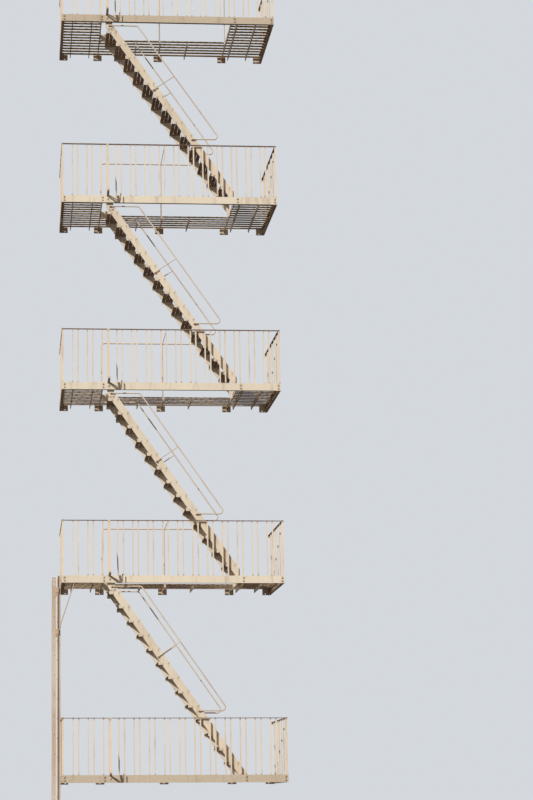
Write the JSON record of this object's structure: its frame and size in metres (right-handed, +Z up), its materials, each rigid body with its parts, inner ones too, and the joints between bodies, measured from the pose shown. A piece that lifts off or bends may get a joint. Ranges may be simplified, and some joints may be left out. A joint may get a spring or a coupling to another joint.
{
  "type": "fire escape stair",
  "caption": "Wall-hung iron fire escape: stacked slatted balconies with paired balusters, steep straight flights between them and a drop ladder at the side.",
  "frame": {"origin": "centre of the wall face of the middle wall plate of the lowest balcony", "axes": "+X along the wall to the right as seen from the street, +Y into the wall, +Z up"},
  "size_m": [3.595, 1.704, 13.8005],
  "materials": {
    "channel_paint": "weathered cream paint, rust at the bolts",
    "railing_paint": "weathered cream paint",
    "stringer_paint": "weathered cream paint, rust along the edges",
    "rod_paint": "weathered cream paint",
    "beam_paint": "cream paint with rust streaks",
    "floor_paint": "worn cream paint with rust",
    "tread_paint": "worn cream paint with rust",
    "ladder_paint": "weathered cream paint"
  },
  "bodies": {
    "fire_escape": {"level_1_beams": "beam_paint", "level_1_front_channel": "channel_paint", "level_1_floor_slats": "floor_paint", "level_1_front_railing": "railing_paint", "level_1_side_railings": "railing_paint", "level_2_beams": "beam_paint", "level_2_front_channel": "channel_paint", "level_2_floor_slats": "floor_paint", "level_2_front_railing": "railing_paint", "level_2_side_railings": "railing_paint", "level_2_well_rail": "rod_paint", "level_3_beams": "beam_paint", "level_3_front_channel": "channel_paint", "level_3_floor_slats": "floor_paint", "level_3_front_railing": "railing_paint", "level_3_side_railings": "railing_paint", "level_3_well_rail": "rod_paint", "level_4_beams": "beam_paint", "level_4_front_channel": "channel_paint", "level_4_floor_slats": "floor_paint", "level_4_front_railing": "railing_paint", "level_4_side_railings": "railing_paint", "level_4_well_rail": "rod_paint", "level_5_beams": "beam_paint", "level_5_front_channel": "channel_paint", "level_5_floor_slats": "floor_paint", "level_5_front_railing": "railing_paint", "level_5_side_railings": "railing_paint", "level_5_well_rail": "rod_paint", "flight_1_stringers": "stringer_paint", "flight_1_treads": "tread_paint", "flight_1_handrails": "rod_paint", "flight_2_stringers": "stringer_paint", "flight_2_treads": "tread_paint", "flight_2_handrails": "rod_paint", "flight_3_stringers": "stringer_paint", "flight_3_treads": "tread_paint", "flight_3_handrails": "rod_paint", "flight_4_stringers": "stringer_paint", "flight_4_treads": "tread_paint", "flight_4_handrails": "rod_paint", "front_braces": "railing_paint", "front_rail_ties": "rod_paint", "ladder_guides": "ladder_paint"},
    "drop_ladder": {"drop_ladder": "ladder_paint"}
  },
  "joints": [
    {"name": "ladder_drop", "type": "slide", "parent": "fire_escape", "child": "drop_ladder", "axis": [0, 0, -1], "range_m": [0, 2.3]}
  ]
}
